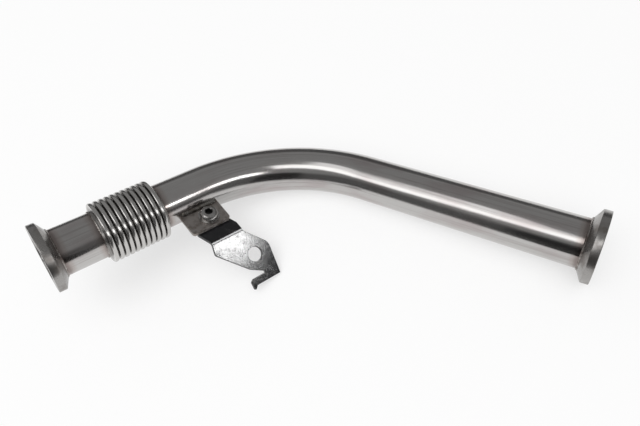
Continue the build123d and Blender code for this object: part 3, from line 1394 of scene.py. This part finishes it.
@dataclass
class Studio:
    """Floor, lamps, background and camera."""

    pipe: PipeFrame
    floor_size: float = 60.0
    floor_grey: float = 0.45
    floor_glow: float = 0.55
    sky_strength: float = 1.4
    sky_spread: float = math.radians(70.0)
    sky_from: tuple[float, float, float] = (0.13, -0.4, 0.91)
    fill: float = 0.36
    background: float = 1.0
    lens: float = 29.53
    sensor: float = 36.0
    camera_place: tuple[float, float, float] = (-0.0106, -0.3305, 0.2384)
    camera_forward: tuple[float, float, float] = (0.4763, 0.6271, -0.6163)
    camera_right: tuple[float, float, float] = (0.7748, -0.6307, -0.0429)

    def softboxes(self) -> list[Softbox]:
        """The lamps whose shapes show on the metal.

        Returns:
            The lamps.
        """
        level, leaning = (1.0, 0.0, 0.0), (0.0, -0.753, 0.658)
        right, run = (0.40, -0.34, 0.443), (-0.08, 0.03, 0.05)
        folds = ("bellows_wall", "inlet_clamp_flange", "bellows_inlet_bead", "bellows_outlet_bead")
        return [
            Softbox("overhead_lamp", (-1.2, -1.25, 3.0), (-1.2, -1.25, 0.0), level, 3.8, 1.1, 1.8),
            Softbox("overhead_edge", (-1.25, -0.2, 3.0), (-1.25, -0.2, 0.0), level, 1.9, 1.0, 1.05),
            Softbox("first_run_lamp", right, run, leaning, 0.46, 0.10, 5.6, ("long_tube",)),
            Softbox("bellows_lamp", right, run, leaning, 0.60, 0.16, 2.4, folds),
            Softbox(
                "plate_lamp", (0.40, -0.112, 0.358), (-0.06, -0.028, 0.03), (0.0, 1.0, 0.0),
                0.075, 0.085, 46.0, ("painted_bracket",),
            ),
            Softbox(
                "bend_lamp", (0.238, 0.063, 0.388), (-0.062, -0.028, 0.026), (0.55, -0.80, -0.22),
                0.17, 0.2, 20.0, ("painted_bracket",),
            ),
        ]

    def build(self) -> None:
        """Set everything up."""
        self.floor()
        Tent().build()
        Card("near_card", (0.02, -0.30, 0.13), (0.02, 0.0, 0.13), 0.18, 0.26, 0.03).build()
        for softbox in self.softboxes():
            softbox.build()
        self.sky()
        self.world()
        self.camera()
        bpy.context.scene.view_settings.view_transform = "Standard"

    def floor(self) -> None:
        """Make the plain pale floor."""
        bm = bmesh.new()
        bmesh.ops.create_grid(bm, x_segments=1, y_segments=1, size=self.floor_size / 2)
        sheet = NodeSheet("pale_floor")
        grey = self.floor_grey
        sheet.set(Base_Color=colour(grey, grey, grey), Roughness=0.9, Specular_IOR_Level=0.0)
        sheet.set(Emission_Strength=sheet.math("MULTIPLY", sheet.shown(), self.floor_glow))
        sheet.set(Emission_Color=WHITE)
        sheet.material.cycles.emission_sampling = "NONE"
        put("floor", mesh_of("floor", bm, sheet.material))

    def sky(self) -> None:
        """Make the broad soft light from above, which reflections don't show."""
        lamp = bpy.data.lights.new("broad_light", "SUN")
        lamp.energy, lamp.angle = self.sky_strength, self.sky_spread
        made = put("broad_light", lamp)
        made.rotation_mode = "QUATERNION"
        made.rotation_quaternion = Vector(self.sky_from).to_track_quat("Z", "Y")
        made.visible_glossy = False

    def world(self) -> None:
        """White for what is seen or mirrored past the floor, and a soft fill for the rest."""
        world = bpy.data.worlds.new("studio")
        bpy.context.scene.world = world
        world.use_nodes = True
        nodes = NodeTree(world.node_tree)
        strength = nodes.add("ShaderNodeMapRange")
        nodes.fill(strength, Value=nodes.shown(), To_Min=self.fill, To_Max=self.background)
        glow = nodes.tree.nodes["Background"]
        nodes.fill(glow, Color=WHITE, Strength=strength.outputs["Result"])

    def camera(self) -> None:
        """Set the camera where the photograph was taken from."""
        data = bpy.data.cameras.new("camera")
        data.lens, data.sensor_width, data.sensor_fit = self.lens, self.sensor, "HORIZONTAL"
        camera = put("camera", data)
        back = -self.pipe.direction(self.camera_forward)
        right = self.pipe.direction(self.camera_right)
        right = (right - back * right.dot(back)).normalized()
        camera.matrix_world = (
            Matrix.Translation(self.pipe.point(self.camera_place))
            @ Matrix((right, back.cross(right), back)).transposed().to_4x4()
        )
        data.clip_start = 0.01
        bpy.context.scene.camera = camera


def clear_scene() -> None:
    """Remove whatever the new file holds."""
    for item in list(bpy.data.objects):
        bpy.data.objects.remove(item)


def build_run(run: PipeRun, weld: bpy.types.Material) -> None:
    """Make everything along the centreline.

    Args:
        run: The sizes of the pipe's run.
        weld: The finish of the weld beads.
    """
    pipe = run.pipe
    inlet, outlet = TubeEnd(pipe), TubeEnd(pipe, from_outlet=True)
    flange_depth = run.flange_rim + run.flange_cone
    seams = (run.bellows_start - run.cuff, run.bellows_end + run.cuff)
    tube_steel = PolishedTube(welds=(
        inlet.station(flange_depth + run.flange_weld),
        *seams,
        outlet.station(flange_depth + run.flange_weld),
    )).material()
    for name, node, start, end in (
        ("short_tube", "inlet_tube", run.flange_lip, run.bellows_start - run.end_gap),
        ("long_tube", "main_tube", run.bellows_end + run.end_gap, outlet.station(run.flange_lip)),
    ):
        run.tube(name, node, start, end, tube_steel)
    flange_steel = TurnedFlange().material()
    run.flange("inlet_clamp_flange", "inlet_flange", inlet, flange_steel)
    run.flange("outlet_clamp_flange", "outlet_flange", outlet, flange_steel)
    run.bellows(FoldedSheet(run.bellows_radius, run.socket_radius + run.bellows_wall).material())
    for name, node, end, towards in (
        ("inlet_flange_bead", "inlet_flange_weld", inlet, 1.0),
        ("outlet_flange_bead", "outlet_flange_weld", outlet, -1.0),
    ):
        shoulder = end.station(flange_depth)
        run.ring_weld(name, node, shoulder, towards, run.flange_weld, run.flange_ripples, weld)
    for name, node, shoulder, towards in (
        ("bellows_inlet_bead", "bellows_inlet_weld", seams[0], -1.0),
        ("bellows_outlet_bead", "bellows_outlet_weld", seams[1], 1.0),
    ):
        run.ring_weld(name, node, shoulder, towards, run.cuff_weld, run.seam_ripples, weld)


def build_bracket(bracket: TabAndBracket) -> None:
    """Make the tab, its welds, the bracket and its fasteners.

    Args:
        bracket: The bracket and its sizes.
    """
    sheet, fastener = bracket.edge_rounding, bracket.fastener_rounding
    bracket.from_node("rolled_tab", "mounting_tab", sheet, MILL_PLATE.material(), Slot.TAB)
    # The tab's beads take the darker weld finish, which paints the shade in the tab's corner.
    painted_shade_weld = SHADED_WELD.material()
    bracket.tab_weld("tab_upper_bead", "tab_weld_upper", 1.0, painted_shade_weld)
    bracket.tab_weld("tab_lower_bead", "tab_weld_lower", -1.0, painted_shade_weld)
    bracket.from_node(
        "painted_bracket", "support_bracket", sheet, BLACK_PAINT.material(), Slot.BRACKET
    )
    bracket.screw(SCREW_STEEL.material(), SOCKET_SHADE.material())
    bracket.from_node(
        "flat_washer", "bracket_washer", fastener, WASHER_STEEL.material(), Slot.WASHER
    )
    bracket.from_node("hexagon_nut", "bracket_nut", fastener, NUT_STEEL.material(), Slot.NUT)


def main() -> None:
    """Build the whole scene."""
    clear_scene()
    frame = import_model()
    pipe = PipeFrame.from_record(frame["record"])
    LOG.info("centreline %.1f mm, bend radius %.1f mm", pipe.length / MM, pipe.bend_radius / MM)
    run = PipeRun(pipe)
    build_run(run, WELD_METAL.material())
    build_bracket(TabAndBracket(pipe, frame["nodes"], run.tube_radius))
    Studio(pipe).build()


if __name__ == "__main__":
    logging.basicConfig(level=logging.INFO, format="%(name)s: %(message)s")
    main()
